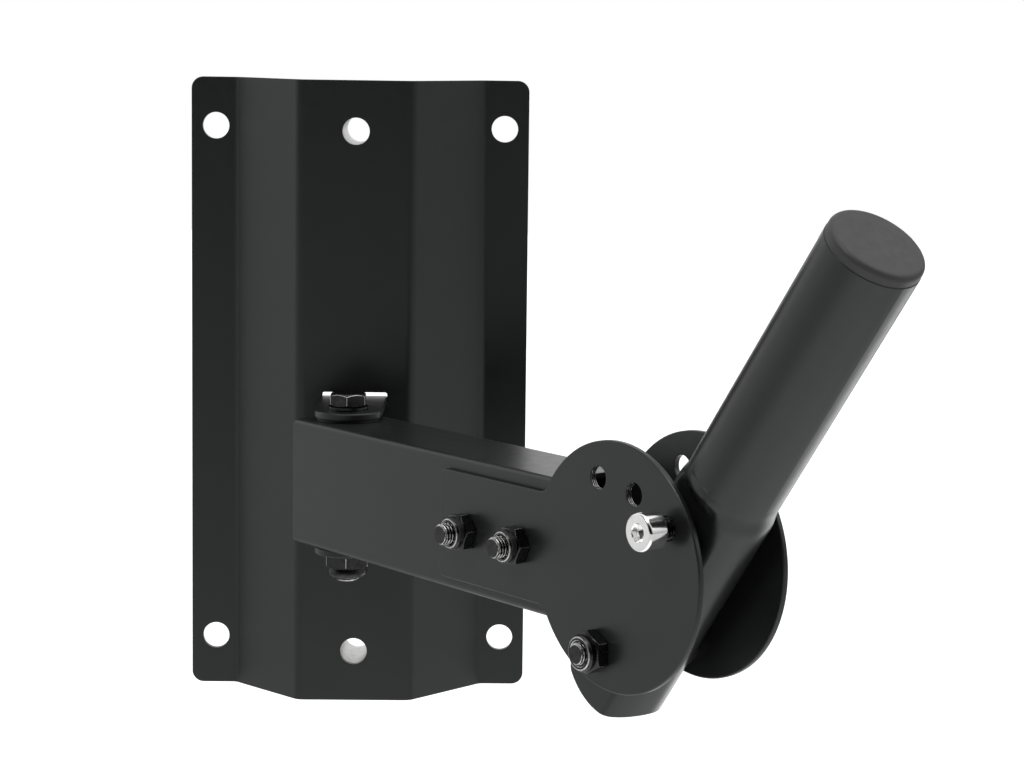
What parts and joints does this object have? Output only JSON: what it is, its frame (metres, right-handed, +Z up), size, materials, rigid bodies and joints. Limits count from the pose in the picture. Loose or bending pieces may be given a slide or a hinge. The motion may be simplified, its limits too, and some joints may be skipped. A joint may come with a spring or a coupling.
{
  "type": "speaker wall bracket",
  "caption": "Black steel wall bracket for a loudspeaker: folded wall plate, swivelling arm and a tilting pole with an end cap, held by a lock screw in a row of holes.",
  "frame": {"origin": "centre of the rectangle of the four wall holes, on the wall plane behind the plate", "axes": "+Y into the wall, -Y into the room, +Z up, +X to the right as seen from the room"},
  "size_m": [0.2734, 0.3224, 0.267],
  "materials": {
    "powder_coat": "satin black powder coat with a fine texture",
    "black_fastener": "black plated steel, half gloss",
    "bare_steel": "plain zinc plated steel",
    "nylon": "black nylon",
    "bright_zinc": "bright zinc plated steel",
    "cap_plastic": "dark grey moulded plastic, fine matt texture"
  },
  "bodies": {
    "wall_mount": {"wall_plate": "powder_coat", "upper_wall_sleeve": "bare_steel", "lower_wall_sleeve": "bare_steel", "swivel_yoke": "powder_coat", "swivel_bolt": "black_fastener", "swivel_washer": "black_fastener", "swivel_nut": "black_fastener", "swivel_nut_ring": "nylon", "upper_friction_washer": "nylon", "lower_friction_washer": "nylon"},
    "arm": {"arm_tube": "powder_coat", "swivel_sleeve": "bare_steel", "near_side_plate": "powder_coat", "far_side_plate": "powder_coat", "rear_tail_bolt": "black_fastener", "rear_tail_nut": "black_fastener", "rear_tail_nut_ring": "nylon", "front_tail_bolt": "black_fastener", "front_tail_nut": "black_fastener", "front_tail_nut_ring": "nylon", "pivot_bolt": "black_fastener", "pivot_nut": "black_fastener", "pivot_nut_ring": "nylon", "pivot_bush": "bare_steel", "near_pivot_spacer": "nylon", "far_pivot_spacer": "nylon"},
    "pole": {"tilt_tube": "powder_coat", "tube_end_cap": "cap_plastic", "lock_thread_nut": "bare_steel"},
    "lock_screw": {"lock_screw": "bright_zinc"}
  },
  "joints": [
    {"name": "arm_swivel", "type": "hinge", "parent": "wall_mount", "child": "arm", "pos_m": [0, -0.072, -0.0305], "axis": [0, 0, 1], "range_deg": [-128, 52]},
    {"name": "pole_tilt", "type": "hinge", "parent": "arm", "child": "pole", "pos_m": [0.11508, -0.21876, -0.0619], "axis": [-0.7869, -0.617, 0], "range_deg": [0, 36.6]},
    {"name": "lock_screw_slide", "type": "slide", "parent": "arm", "child": "lock_screw", "axis": [-0.7869, -0.617, 0], "range_m": [0, 0.012]}
  ]
}
